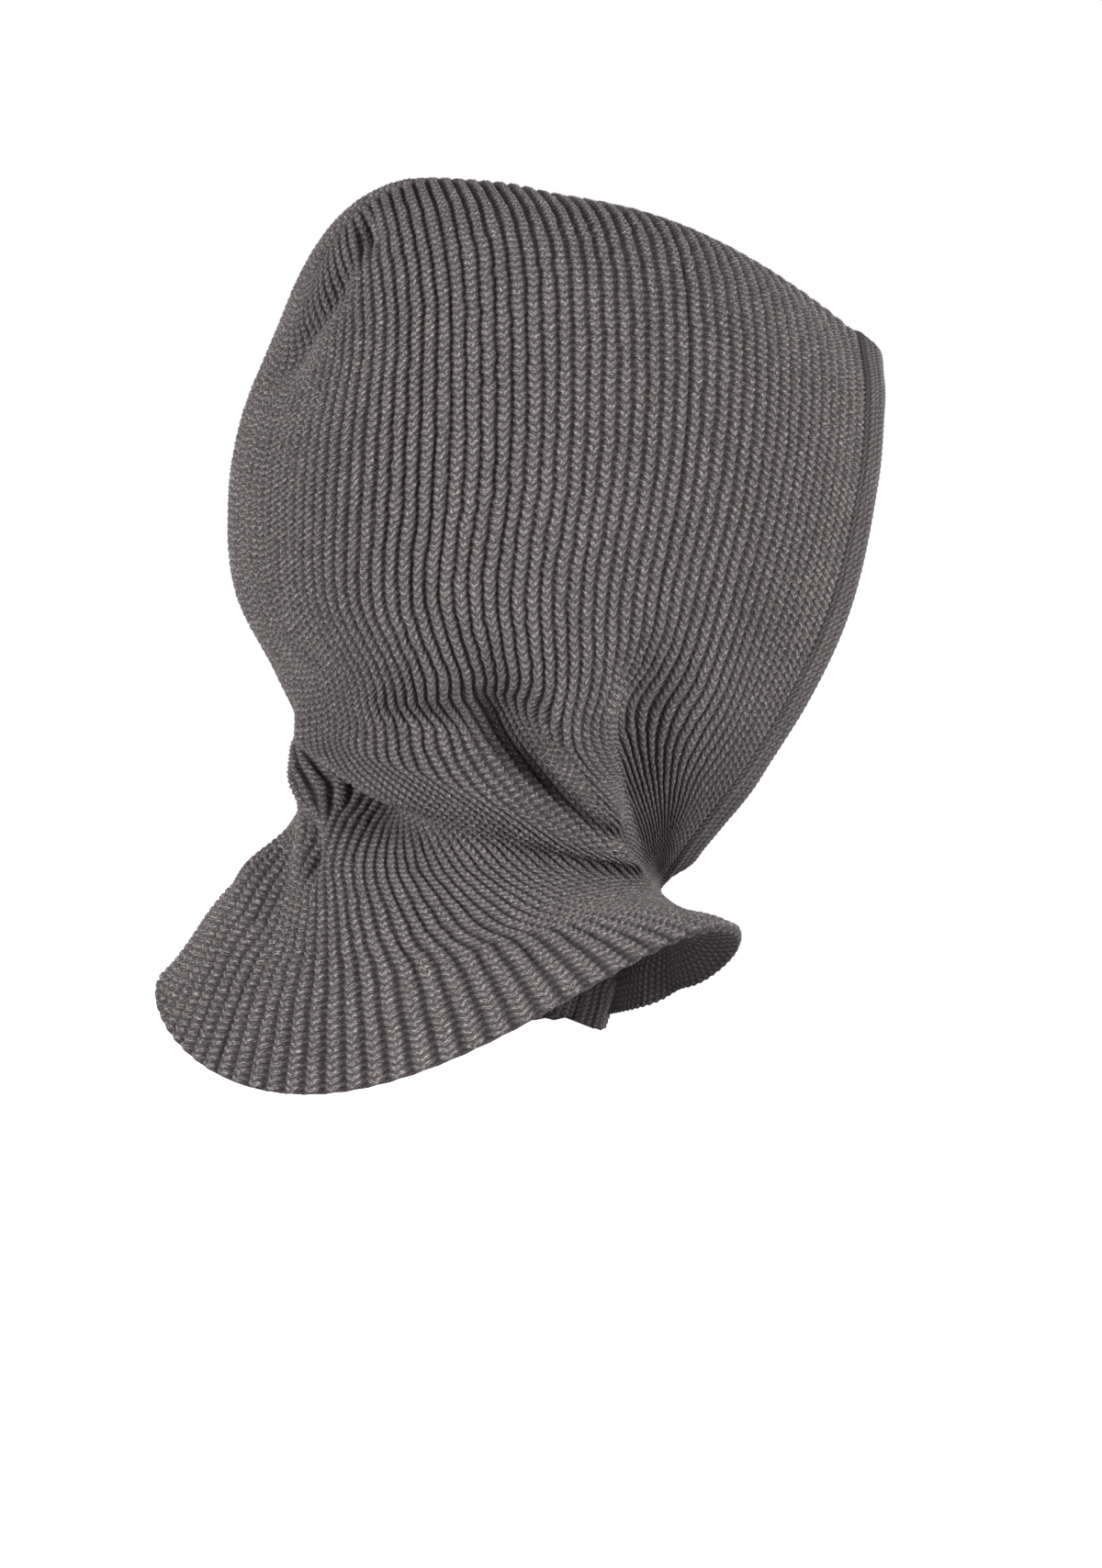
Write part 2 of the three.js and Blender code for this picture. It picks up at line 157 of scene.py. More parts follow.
def smooth_surface(u, t):
    """Grid of points, rows t by columns u, before the folds."""
    grid = np.zeros((len(t), len(u), 3))
    for j, row in enumerate(section_at(t)):
        points, share = ring_of(row)
        slide, gather, spread = row[15:18]
        inward = 1 - np.abs(u)
        to_back = (1 + gather) * inward - gather * inward**5
        where = 0.5 * (1 + np.sign(u) * (1 - to_back))
        where = where + (slide - 0.5) * (1 - (2 * where - 1) ** 2)
        where = where - spread * np.where(u < 0, np.sin(np.pi * np.abs(u)), 0)
        for axis in range(3):
            grid[j, :, axis] = np.interp(where, share, points[:, axis])
    return grid


def surface_normals(grid, soften=0):
    """Outward normals of a grid; the two sides of the crown and of the bib share theirs."""
    normal = np.cross(np.gradient(grid, axis=1), np.gradient(grid, axis=0))
    normal /= np.maximum(np.linalg.norm(normal, axis=2, keepdims=True), 1e-9)
    for _ in range(soften):
        for axis in (0, 1):
            lines = np.moveaxis(normal, axis, 0)
            lines[1:-1] = lines[1:-1] * 0.5 + (lines[:-2] + lines[2:]) * 0.25
    normal[0] = normal[0] + normal[0, ::-1]
    normal[0, :, 0] = 0
    touching = np.linalg.norm(grid[:, 0] - grid[:, -1], axis=1) < 0.01
    touching[0] = False
    shared = normal[touching, 0] + normal[touching, -1]
    normal[touching, 0] = shared
    normal[touching, -1] = shared
    return normal / np.maximum(np.linalg.norm(normal, axis=2, keepdims=True), 1e-9)


widest = ring_of(section_at(np.array([190.0]))[0])[0]
print("widest section mm", np.ptp(widest, axis=0).round())


# %% [markdown]
# ## Folds
# A worn hood is full of soft folds where the neck is gathered. Draping a cloth would give
# some folds, but not those of the photograph. So each one is a curve on the fabric with a
# width on either side, and it lifts or sinks what is near it, fading out at its ends.

# %% Folds
FOLD_STEPS = 12          # straight steps that stand for the curve of a fold


def ease(x):
    """Rise from 0 to 1 that starts and ends level."""
    x = np.clip(x, 0, 1)
    return x * x * (3 - 2 * x)


def fold_shift(u, t):
    """How far the folds lift the fabric, and how far they let it hang, at each place."""
    push, drop = np.zeros_like(u), np.zeros_like(u)
    x = u * HALF_WIDTH
    for _, u0, t0, u1, t1, u2, t2, above, below, lift, hang, fade_in, fade_out in FOLDS:
        k = np.linspace(0, 1, FOLD_STEPS + 1)[:, None]
        bend = np.array([[(2 * u1 - (u0 + u2) / 2) * HALF_WIDTH, 2 * t1 - (t0 + t2) / 2]])
        path = (np.array([[u0 * HALF_WIDTH, t0]]) * (1 - k) ** 2 + bend * 2 * k * (1 - k)
                + np.array([[u2 * HALF_WIDTH, t2]]) * k**2)
        across = abs(u2 - u0) * HALF_WIDTH > abs(t2 - t0) * 0.3
        facing = np.sign(u2 - u0) if across else -1
        best = np.full_like(u, 1e9)
        side, along = np.zeros_like(u), np.zeros_like(u)
        for i in range(FOLD_STEPS):
            dx, dt = path[i + 1] - path[i]
            h = np.clip(((x - path[i, 0]) * dx + (t - path[i, 1]) * dt) / (dx * dx + dt * dt), 0, 1)
            ex, et = x - path[i, 0] - h * dx, t - path[i, 1] - h * dt
            near = np.hypot(ex, et)
            closer = near < best
            best = np.where(closer, near, best)
            along = np.where(closer, (i + h) / FOLD_STEPS, along)
            side = np.where(closer, np.sign(dx * et - dt * ex) * facing, side)
        amount = np.exp(-(best / np.where(side > 0, below, above)) ** 2)
        if fade_in:
            amount = amount * ease(along / fade_in)
        if fade_out:
            amount = amount * ease((1 - along) / fade_out)
        push += lift * amount
        drop += hang * amount
    return push, drop


def share_at_welds(shift, closed):
    """Average a shift over the places that meet: along the crown seam and down the bib."""
    shift[0] = (shift[0] + shift[0, ::-1]) / 2
    front = (shift[closed, 0] + shift[closed, -1]) / 2
    shift[closed, 0] = front
    shift[closed, -1] = front
    return shift


deepest = min(fold[9] for fold in FOLDS)
print("deepest fold mm", deepest)


# %% [markdown]
# ## Ribs and courses
# Rib knit is built from stitches: here 48 ribs on each half of the hood, and about one
# course of stitches for every 3 mm down a rib. If the rows of the mesh follow the courses
# and its columns follow the ribs, every stitch gets its own small relief, and the fabric
# stretches and crowds in the folds as the real one does. Where the neck is gathered the
# fabric is twisted, so there the ribs drift toward the throat and run along the roll
# before they fan out over the collar.

# %% Fabric grid
RIBS = 96                # ribs from one face edge to the other
COURSES = 138            # courses from the crown seam to the hem
COLUMNS_PER_RIB = 6
ROWS_PER_COURSE = 4
GORES = 6                # pieces that the fabric is cut into, along rib valleys
DOWN_SAMPLES = 501       # places down a rib where the folded surface is worked out
# Places u, and how far the ribs there move in u. The move starts DRIFT_FROM mm down a rib
# and grows over the next DRIFT_OVER mm.
DRIFT = ((-1, -.75, -.45, -.2, 0, .3, .6, 1), (0, -.17, -.25, -.215, -.165, -.085, -.03, 0))
DRIFT_FROM, DRIFT_OVER = 235, 75
DRIFT_SOFTEN = 57        # columns over which the drift is averaged
yarn_dice = np.random.RandomState(11)

columns = np.linspace(-1, 1, RIBS * COLUMNS_PER_RIB + 1)
downs = np.linspace(0, RIB_LENGTH, DOWN_SAMPLES)
smooth = smooth_surface(columns, downs)
lift_dir = surface_normals(smooth)
hang_dir = np.gradient(smooth, axis=0)
hang_dir /= np.linalg.norm(hang_dir, axis=2, keepdims=True)
hang_dir[0] = (0, 0, -1)
push, drop = [share_at_welds(shift, downs >= CLOSE_AT)
              for shift in fold_shift(*np.meshgrid(columns, downs))]
folded = smooth + lift_dir * push[..., None] + hang_dir * drop[..., None]

drift = np.interp(columns, *DRIFT)
drift = np.convolve(np.pad(drift, DRIFT_SOFTEN // 2, "edge"),
                    np.full(DRIFT_SOFTEN, 1 / DRIFT_SOFTEN), "valid") * (1 - columns**8)
for row, down in zip(folded, downs):
    rib_now_at = columns + drift * ease((down - DRIFT_FROM) / DRIFT_OVER)
    for axis in range(3):
        row[:, axis] = np.interp(rib_now_at, columns, row[:, axis].copy())
lengths = np.linalg.norm(np.diff(folded, axis=0), axis=2).cumsum(axis=0)
lengths = np.vstack([np.zeros((1, len(columns))), lengths])
print("rib lengths mm", lengths[-1].min().round(), "to", lengths[-1].max().round())

course_rows = np.arange(COURSES * ROWS_PER_COURSE + 1) / (COURSES * ROWS_PER_COURSE)
fabric = np.zeros((len(course_rows), len(columns), 3))
for i in range(len(columns)):
    share = lengths[:, i] / lengths[-1, i]
    for axis in range(3):
        fabric[:, i, axis] = np.interp(course_rows, share, folded[:, i, axis])


def blurred(grid, times):
    """The grid smoothed down its columns, to round off the steps of the folds."""
    for _ in range(times):
        grid[1:-1] = grid[1:-1] * 0.5 + (grid[:-2] + grid[2:]) * 0.25
    return grid


fabric = blurred(fabric, 6)
fabric_normal = surface_normals(fabric)
relief_dir = surface_normals(fabric, soften=12)
rib_width = np.linalg.norm(np.gradient(fabric, axis=1), axis=2) * COLUMNS_PER_RIB
print("fabric grid", fabric.shape[:2], "rib width mm", rib_width.min().round(1), "to",
      rib_width.max().round(1))

# %% [markdown]
# ## Relief of a stitch
# On the outside a rib shows a column of V-shaped stitches that stands proud, and a deep
# valley beside it. The valley's shade comes from depth, so it is modelled: a rounded rib,
# plus two legs that slant up and out from its middle line. The wool's colour also paints
# shade into the valley. Yarn is never even, so each stitch has its own size and sits a
# little to one side.

# %% Relief
RIB_HEIGHT = 2.4         # from valley to crest
RIB_PROFILE = ((0, 1 / 3, 2 / 3, 1), (0.92, 1, 0.42, 0))   # off the middle; level there
LEG_HEIGHT = 0.45        # from the gap between two stitches to the top of one, halved
LEG_SLANT = 0.85         # courses from a stitch's middle to its outer end
SIDEWAYS = 0.55          # how far a stitch may sit to one side
PROUD = 0.35             # crests stand this far outside the smooth surface
USUAL_WIDTH = 5.7        # of a rib; crowded ribs are lower and stretched ones higher
SEAM_DIP, SEAM_COURSES = 0.9, 0.9   # how deep the crown seam sinks, and how far it reaches
SOFT_LUMPS = 0.5         # slow bumps of the whole fabric, faded out at its edges
LUMP_FADE = 12           # courses for that fade; by a face edge it takes 1/12 of u
INSIDE_RIB = 0.55        # half of the rib relief on the inside
INSIDE_WALL = WALL - 0.4


def noise_field(rows, cols, cell_rows, cell_cols, dice):
    """Soft random bumps on a grid, about one for each cell."""
    knots = dice.uniform(-1, 1, (int(rows / cell_rows) + 3, int(cols / cell_cols) + 3))
    y, x = np.arange(rows) / cell_rows, np.arange(cols) / cell_cols
    y0, x0 = y.astype(int), x.astype(int)
    fy, fx = ease(y - y0)[:, None], ease(x - x0)[None]
    upper = knots[y0][:, x0] * (1 - fx) + knots[y0][:, x0 + 1] * fx
    lower = knots[y0 + 1][:, x0] * (1 - fx) + knots[y0 + 1][:, x0 + 1] * fx
    return upper * (1 - fy) + lower * fy


rib_place = np.arange(len(columns)) / COLUMNS_PER_RIB
across_rib = (rib_place % 1.0)[None] - 0.5
course_place = np.arange(len(course_rows))[:, None] / ROWS_PER_COURSE
shape = fabric.shape[:2]
wobble = noise_field(*shape, 10, 7, yarn_dice)
size = 1 + 0.35 * noise_field(*shape, 4, 4, yarn_dice)
crest = np.interp(np.abs(2 * across_rib), *RIB_PROFILE) + np.zeros(shape)
legs = np.cos(2 * np.pi * (course_place + LEG_SLANT * np.abs(2 * across_rib) + 0.10 * wobble))
bulge = LEG_HEIGHT * legs * size * np.interp(np.abs(2 * across_rib), (0, 1 / 3, 2 / 3, 1),
                                             (0.7, 1, 1, 0.25))
crowding = np.clip(rib_width / USUAL_WIDTH, 0.55, 1.25)
relief = (RIB_HEIGHT * (crest - 1) + bulge) * crowding + PROUD
relief = relief - SEAM_DIP * np.exp(-(course_place / SEAM_COURSES) ** 2)
soft_lumps = SOFT_LUMPS * noise_field(*shape, 90, 55, yarn_dice)
ends = np.minimum(1, np.minimum(course_place / LUMP_FADE, (COURSES - course_place) / LUMP_FADE))
sides = np.minimum(1, (1 - np.abs(columns)) * LUMP_FADE)[None]
outside = fabric + relief_dir * (relief + soft_lumps * ends * sides)[..., None]
sideways_dir = np.gradient(fabric, axis=1)
sideways_dir /= np.maximum(np.linalg.norm(sideways_dir, axis=2, keepdims=True), 1e-9)
sideways = SIDEWAYS * noise_field(*shape, 5, 5, yarn_dice) * ends * sides * crowding
gore_cuts = np.arange(len(columns)) % (len(columns) // GORES) == 0
outside += sideways_dir * np.where(gore_cuts, 0, sideways)[..., None]
inside_dip = -INSIDE_RIB * np.cos(2 * np.pi * across_rib) + np.zeros(shape)
inside = fabric - fabric_normal * (INSIDE_WALL + inside_dip)[..., None]
print("relief mm", relief.min().round(2), "to", relief.max().round(2))

# %% [markdown]
# ## From grid to mesh
# The whole fabric would be too heavy as one mesh, so it is laid out in gores, each one a
# flat tube: a grid whose columns run over the outside, round a side wall, back along the
# inside and round the other side wall. The cuts lie at the bottom of rib valleys, where
# no one sees them, and each gore is closed, with a rolled lip at the hem.

# %% Gores
INNER_STEP = 3           # the inside needs only every third column
LIP = ((0.35, 0.25), (0.75, 0.9))   # how far in, and how far beyond the hem, the lip turns


def lip_rows(outer, inner, down):
    """Rows that turn the hem's edge from the outside in, and from the inside out."""
    wall = inner - outer
    outer_lip = [outer + wall * 0.5 * inward + down * reach for inward, reach in LIP]
    inner_lip = [inner - wall * 0.5 * inward + down * reach for inward, reach in LIP]
    return outer_lip, inner_lip


hem_down = fabric[-1] - fabric[-5]
hem_down /= np.linalg.norm(hem_down, axis=1, keepdims=True)
outer_lip, inner_lip = lip_rows(outside[-1], inside[-1], hem_down)
outer_sheet = np.concatenate([outside, np.stack(outer_lip)])
inner_sheet = np.concatenate([inside, np.stack(inner_lip)])
lip_course = COURSES + 0.1 * np.arange(1, len(LIP) + 1)[:, None]
sheet_course = np.concatenate([course_place, lip_course])[:, 0]
sheet_crest = np.concatenate([crest, np.repeat(crest[-1:], len(LIP), axis=0)])


def tube_mesh(name, loop_points, loop_knit):
    """A grid of rows by loop points, rolled up so that its last column lies on its first."""
    rows, around = loop_points.shape[:2]
    bm = bmesh.new()
    bmesh.ops.create_grid(bm, x_segments=around, y_segments=rows - 1, size=0.5)
    mesh = bpy.data.meshes.new(name)
    bm.to_mesh(mesh)
    bm.free()
    place = np.zeros(len(mesh.vertices) * 3)
    mesh.vertices.foreach_get("co", place)
    place = place.reshape(-1, 3)
    i = np.rint((place[:, 0] + 0.5) * around).astype(int)
    j = np.rint((place[:, 1] + 0.5) * (rows - 1)).astype(int)
    mesh.vertices.foreach_set("co", (loop_points[j, i % around] * MM).ravel())
    knit = mesh.attributes.new("knit", "FLOAT_VECTOR", "POINT")
    knit.data.foreach_set("vector", loop_knit[j, i % around].ravel())
    marks = mesh.attributes.new("column", "INT", "POINT")
    marks.data.foreach_set("value", i)
    return mesh


print("gores", GORES, "rows", outer_sheet.shape[0])


# %% [markdown]
# ## Closing the gores
# A grid that is only laid round on itself still has a seam and two open ends, which would
# show as a crack at the crown and as a hollow hem. So the seam is welded, the ends are
# bridged from the outer edge to the inner one, and the edges of the cut are kept crisp.

# %% Weld the gores
def finish_tube(mesh, around, wall_columns, outer_span, inner_span):
    """Weld first and last column, bridge both ends, and keep the cut edges crisp."""
    bm = bmesh.new()
    bm.from_mesh(mesh)
    column = bm.verts.layers.int["column"]
    seam = [v for v in bm.verts if v[column] in (0, around)]
    bmesh.ops.remove_doubles(bm, verts=seam, dist=1e-7)
    bm.edges.index_update()
    loops, seen = [], set()
    for start in [e for e in bm.edges if e.is_boundary]:
        if start.index in seen:
            continue
        seen.add(start.index)
        loop, grow = [start], list(start.verts)
        while grow:
            for e in grow.pop().link_edges:
                if e.is_boundary and e.index not in seen:
                    seen.add(e.index)
                    loop.append(e)
                    grow += list(e.verts)
        loops.append(loop)
    for loop in loops:
        outer = [e for e in loop if all(v[column] <= outer_span for v in e.verts)]
        inner = [e for e in loop
                 if all(inner_span[0] <= v[column] <= inner_span[1] for v in e.verts)]
        bmesh.ops.bridge_loops(bm, edges=outer + inner)
        for e in outer:
            e.smooth = False
    bmesh.ops.holes_fill(bm, edges=[e for e in bm.edges if e.is_boundary])
    for e in bm.edges:
        first, second = e.verts
        if first[column] == second[column] and first[column] in wall_columns:
            e.smooth = False
    for f in bm.faces:
        f.smooth = True
    bmesh.ops.recalc_face_normals(bm, faces=bm.faces)
    open_edges = sum(1 for e in bm.edges if not e.is_manifold)
    bm.to_mesh(mesh)
    bm.free()
    return open_edges


def make_gore(index):
    """One closed piece of the fabric, from one rib valley to another."""
    ribs = RIBS // GORES
    first = index * ribs * COLUMNS_PER_RIB
    span = ribs * COLUMNS_PER_RIB
    outer_columns = np.arange(first, first + span + 1)
    inner_columns = outer_columns[::-1][::INNER_STEP]
    points = np.concatenate([outer_sheet[:, outer_columns], inner_sheet[:, inner_columns]], axis=1)
    rows = points.shape[0]
    pick = np.concatenate([outer_columns, inner_columns])
    knit = np.zeros((rows, len(pick), 3))
    knit[..., 0] = pick / COLUMNS_PER_RIB
    knit[..., 1] = sheet_course[:, None]
    # the third knit value is the crest level, which the wool uses to paint shade into the rib
    # valleys; on the inside its valleys lie at the rib middles
    knit[:, :span + 1, 2] = sheet_crest[:, outer_columns]
    knit[:, span + 1:, 2] = 1 - sheet_crest[:, inner_columns]
    name = f"hood_gore_{index + 1}"
    mesh = tube_mesh(name, points, knit)
    around = points.shape[1]
    last_outer, first_inner = span, span + 1
    open_edges = finish_tube(mesh, around, {0, last_outer, first_inner, around - 1},
                             last_outer, (first_inner, around - 1))
    piece = bpy.data.objects.new(name, mesh)
    bpy.context.collection.objects.link(piece)
    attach(piece, "root")
    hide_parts("hood_body")
    print(name, "triangles", sum(len(p.vertices) - 2 for p in mesh.polygons), "open", open_edges)
    return piece


gores = [make_gore(index) for index in range(GORES)]

# %% [markdown]
# ## The folded band
# The face opening is finished with a strip of finer rib, folded over the edge so that it
# is two layers thick, and joined to the hood along a narrow groove. Its ribs run along
# the opening. It is one section swept round the opening's edge, so it is made as a tube
# of rows that follow the edge, each row a rounded loop with small ribs on it.

# %% Band
BAND_WIDTH = 13.2
BAND_THICK = 7.2
BAND_GAP = 0.36
BAND_RIBS = 4
BAND_COURSE = 2.9        # one stitch along the band
BAND_ROWS_PER_COURSE = 3
BAND_RIB_HEIGHT = 1.15
BAND_LEG_HEIGHT = 0.26
BAND_PROUD = 0.35
BAND_WAVE = 0.25
BAND_START = 0.5         # the band's flat sides begin this far from its joined edge
OUT_STEPS, TURN_STEPS, BACK_STEPS, END_STEPS = 30, 8, 12, 5
THROAT_BELOW = 20        # rows at the crown that the search for the throat leaves out


def rim_path():
    """Middle of the wall along the opening: down the right side, up the left one."""
    gap = np.linalg.norm(fabric[:, 0] - fabric[:, -1], axis=1)
    throat = int(np.argmax((gap < 0.05) & (np.arange(len(gap)) > THROAT_BELOW)))
    middle = fabric - fabric_normal * WALL * 0.5
    points = np.concatenate([middle[:throat + 1, 0], middle[1:throat, -1][::-1]])
    normals = np.concatenate([fabric_normal[:throat + 1, 0], fabric_normal[1:throat, -1][::-1]])
    return points, normals


def round_corners(values, times):
    """Average each value with its neighbours round a closed loop."""
    for _ in range(times):
        values = values * 0.5 + (np.roll(values, 1, axis=0) + np.roll(values, -1, axis=0)) * 0.25
    return values


rim_points, rim_normals = rim_path()
rim_points = round_corners(rim_points, 8)
steps = np.linalg.norm(np.roll(rim_points, -1, axis=0) - rim_points, axis=1)
rim_at = np.concatenate([[0], np.cumsum(steps)])
band_courses = int(round(rim_at[-1] / BAND_COURSE))
band_rows = band_courses * BAND_ROWS_PER_COURSE
wanted = np.arange(band_rows) / band_rows * rim_at[-1]
closed_points = np.vstack([rim_points, rim_points[:1]])
closed_normals = np.vstack([rim_normals, rim_normals[:1]])
rim = np.stack([np.interp(wanted, rim_at, closed_points[:, k]) for k in range(3)], axis=1)
rise_dir = np.stack([np.interp(wanted, rim_at, closed_normals[:, k]) for k in range(3)], axis=1)
run_dir = round_corners(np.roll(rim, -1, axis=0) - np.roll(rim, 1, axis=0), 12)
run_dir /= np.linalg.norm(run_dir, axis=1, keepdims=True)
rise_dir = round_corners(rise_dir, 12)
rise_dir -= run_dir * np.sum(rise_dir * run_dir, axis=1, keepdims=True)
rise_dir /= np.linalg.norm(rise_dir, axis=1, keepdims=True)
away_dir = np.cross(rise_dir, run_dir)
print("band length mm", rim_at[-1].round(), "courses", band_courses)


def band_loop():
    """Section of the band: reach away from the hood, rise off its middle, rib place, outward pair."""
    half = BAND_THICK / 2
    fold = half * 1.05
    flat = BAND_WIDTH - fold
    loop = []
    for k in range(OUT_STEPS):
        loop.append((BAND_START + (flat - BAND_START) * k / OUT_STEPS, half, 0, 1))
    for k in range(TURN_STEPS + 1):
        angle = math.pi * k / TURN_STEPS
        loop.append((flat + fold * math.sin(angle), half * math.cos(angle),
                     math.sin(angle), math.cos(angle)))
    for k in range(1, BACK_STEPS + 1):
        loop.append((flat - (flat - BAND_START) * k / BACK_STEPS, -half, 0, -1))
    for k in range(1, END_STEPS):
        angle = math.pi * (1 + k / END_STEPS)
        loop.append((BAND_START + BAND_START * math.sin(angle), half * math.cos(angle),
                     -0.4, math.cos(angle)))
    return np.array(loop)


loop = band_loop()
loop_run = np.concatenate([[0], np.cumsum(np.hypot(*np.diff(loop[:, :2], axis=0).T))])
band_rib = loop_run / (BAND_WIDTH / (BAND_RIBS + 0.2))
course_run = np.arange(band_rows)[:, None] / BAND_ROWS_PER_COURSE
band_crest = np.clip(1 - np.abs(2 * (band_rib % 1.0) - 1) ** 2.2, 0, 1)[None] ** 0.75
band_crest = band_crest + np.zeros((band_rows, 1))
band_legs = np.cos(2 * np.pi * (course_run + 0.8 * np.abs(2 * (band_rib % 1.0) - 1)[None]))
band_wave = noise_field(band_rows, len(loop), 25, 60, yarn_dice)
band_relief = (BAND_RIB_HEIGHT * (band_crest - 1) + BAND_LEG_HEIGHT * band_legs * band_crest
               + BAND_PROUD + BAND_WAVE * band_wave)
back_side = (loop[:, 2] < -0.1)[None]
band_relief = np.where(back_side, 0, band_relief)
out_pair = loop[:, 2:4] / np.linalg.norm(loop[:, 2:4], axis=1, keepdims=True)
band_points = (rim[:, None]
               + away_dir[:, None] * (BAND_GAP + loop[:, 0] + band_relief * out_pair[:, 0])[..., None]
               + rise_dir[:, None] * (loop[:, 1] + band_relief * out_pair[:, 1])[..., None])
band_knit = np.zeros(band_points.shape)
band_knit[..., 0] = 200.5 + band_rib
band_knit[..., 1] = course_run
# the third knit value is the crest level, which the wool uses to paint shade into the band's rib
# valleys
band_knit[..., 2] = band_crest


def make_band():
    """The swept tube closes on itself, so its first and last rows are welded too."""
    closed = np.concatenate([band_points, band_points[:1]])
    closed_knit = np.concatenate([band_knit, band_knit[:1]])
    mesh = tube_mesh("face_fold_band", closed, closed_knit)
    bm = bmesh.new()
    bm.from_mesh(mesh)
    bmesh.ops.remove_doubles(bm, verts=[v for v in bm.verts if v.is_boundary], dist=1e-7)
    bmesh.ops.recalc_face_normals(bm, faces=bm.faces)
    for f in bm.faces:
        f.smooth = True
    open_edges = sum(1 for e in bm.edges if not e.is_manifold)
    bm.to_mesh(mesh)
    bm.free()
    piece = bpy.data.objects.new("face_fold_band", mesh)
    bpy.context.collection.objects.link(piece)
    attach(piece, "root")
    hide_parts("face_band")
    print("band triangles", len(mesh.polygons) * 2, "open", open_edges)
    return piece


band = make_band()

# %% [markdown]
# ## Heathered wool
# The yarn is spun from dark grey, brown and pale fibres, so each stitch is flecked. The
# fibres lie along the slanted legs of the stitches, and a photograph of the whole colour
# would smear them. Noise that is stretched along the legs keeps them crisp. The knit
# attribute gives the node tree the rib, the course and how high the place stands. The
# colour also holds painted light: painted shade in the gaps between stitches and in the
# rib valleys, and a painted highlight where the pale flecks gather on the tops of the legs.

# %% Wool node group
def wool_group():
    """Node group that turns the knit attribute into the yarn's colour, with painted shade and a
    painted highlight in it, and into the yarn's height.
    """
    group = bpy.data.node_groups.new("heather_knit", "ShaderNodeTree")
    face = group.interface
    face.new_socket("Knit", in_out="INPUT", socket_type="NodeSocketVector")
    for label, value in (("Dark", (0.040, 0.034, 0.036, 1)), ("Wool", (0.130, 0.112, 0.114, 1)),
                         ("Pale", (0.46, 0.43, 0.42, 1))):
        socket = face.new_socket(label, in_out="INPUT", socket_type="NodeSocketColor")
        socket.default_value = value
    face.new_socket("Color", in_out="OUTPUT", socket_type="NodeSocketColor")
    face.new_socket("Height", in_out="OUTPUT", socket_type="NodeSocketFloat")
    nodes, links = group.nodes, group.links
    inputs = nodes.new("NodeGroupInput")
    outputs = nodes.new("NodeGroupOutput")

    def math_node(kind, a, b=None, c=None):
        node = nodes.new("ShaderNodeMath")
        node.operation = kind
        for slot_index, value in enumerate((a, b, c)):
            if value is None:
                continue
            if isinstance(value, (int, float)):
                node.inputs[slot_index].default_value = value
            else:
                links.new(value, node.inputs[slot_index])
        return node.outputs[0]

    def vector(x, y, z):
        node = nodes.new("ShaderNodeCombineXYZ")
        for slot_index, value in enumerate((x, y, z)):
            if isinstance(value, (int, float)):
                node.inputs[slot_index].default_value = value
            else:
                links.new(value, node.inputs[slot_index])
        return node.outputs[0]

    def noise(place, scale, detail, roughness=0.55):
        node = nodes.new("ShaderNodeTexNoise")
        node.inputs["Scale"].default_value = scale
        node.inputs["Detail"].default_value = detail
        node.inputs["Roughness"].default_value = roughness
        links.new(place, node.inputs["Vector"])
        return node.outputs["Fac"]

    def step(value, low, high):
        node = nodes.new("ShaderNodeMapRange")
        node.interpolation_type = "SMOOTHSTEP"
        links.new(value, node.inputs["Value"])
        node.inputs["From Min"].default_value = low
        node.inputs["From Max"].default_value = high
        return node.outputs["Result"]

    def mix(share, a, b):
        node = nodes.new("ShaderNodeMix")
        node.data_type = "RGBA"
        links.new(share, node.inputs["Factor"])
        links.new(a, node.inputs["A"])
        links.new(b, node.inputs["B"])
        return node.outputs["Result"]

    split = nodes.new("ShaderNodeSeparateXYZ")
    links.new(inputs.outputs["Knit"], split.inputs[0])
    rib, course, crest_level = split.outputs
    off_middle = math_node("ABSOLUTE", math_node("SUBTRACT", math_node("FRACT", rib), 0.5))
    leg = math_node("ADD", course, math_node("MULTIPLY", off_middle, 1.7))
    strand = vector(math_node("MULTIPLY", rib, 6.0), math_node("MULTIPLY", leg, 6.0), 0.0)
    fibre = vector(math_node("MULTIPLY", rib, 11.0), math_node("MULTIPLY", leg, 12.0), 3.0)
    patch = vector(math_node("MULTIPLY", rib, 0.30), math_node("MULTIPLY", course, 0.12), 7.0)
    fleck_noise = noise(strand, 1.0, 3.0, 0.7)
    fibre_noise = noise(fibre, 1.0, 2.0, 0.6)
    gap = math_node("SINE", math_node("MULTIPLY_ADD", leg, 2 * math.pi, -math.pi / 2))
    # painted highlight: the pale fibre flecks are kept mostly to the tops of the stitch legs, where
    # light catches them, and thinned to a quarter in the gaps
    leg_top_highlight = math_node("MULTIPLY_ADD", step(gap, 0.5, -0.7), 0.75, 0.25)
    pale_fleck_and_highlight = math_node("MULTIPLY", step(fleck_noise, 0.52, 0.62), 0.90)
    pale_fleck_and_highlight = math_node("ADD", pale_fleck_and_highlight,
                           math_node("MULTIPLY", step(fibre_noise, 0.53, 0.62), 0.90))
    pale_fleck_and_highlight = math_node("MULTIPLY", math_node("MINIMUM", pale_fleck_and_highlight, 1.0), leg_top_highlight)
    dark_share = math_node("MULTIPLY", step(fleck_noise, 0.50, 0.38), 0.80)
    colour = mix(pale_fleck_and_highlight, inputs.outputs["Wool"], inputs.outputs["Pale"])
    colour = mix(dark_share, colour, inputs.outputs["Dark"])
    # painted shade: the gaps between stitches are mixed toward the dark colour
    painted_gap_shade = math_node("MULTIPLY", step(gap, 0.1, 1.0), 0.38)
    colour = mix(painted_gap_shade, colour, inputs.outputs["Dark"])
